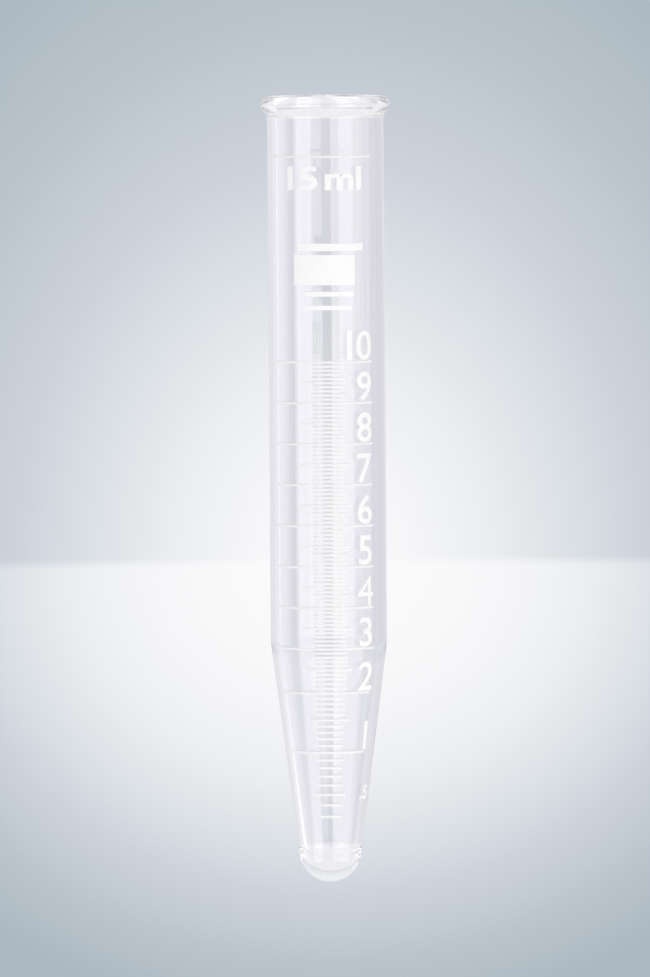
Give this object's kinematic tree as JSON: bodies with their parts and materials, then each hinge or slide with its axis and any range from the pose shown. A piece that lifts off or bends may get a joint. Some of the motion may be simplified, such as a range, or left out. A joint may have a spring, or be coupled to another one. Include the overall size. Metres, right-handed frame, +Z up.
{
  "type": "15 ml conical tube",
  "caption": "Clear glass conical centrifuge tube with a beaded rim, straight body, round-ended cone and white enamel volume scale, standing upside down on its rim.",
  "frame": {"origin": "on the ground at the middle of the open rim, on which the tube stands", "axes": "+Z up along the axis from the open rim to the closed tip, -Y out through the middle of the printed scale, -X to the right of the scale read with the rim at the top"},
  "size_m": [0.0188, 0.0188, 0.115],
  "materials": {
    "clear_glass": "polished",
    "white_enamel": "satin"
  },
  "bodies": {
    "root": {"glass_tube": "clear_glass", "scale_print": "white_enamel"}
  },
  "joints": []
}
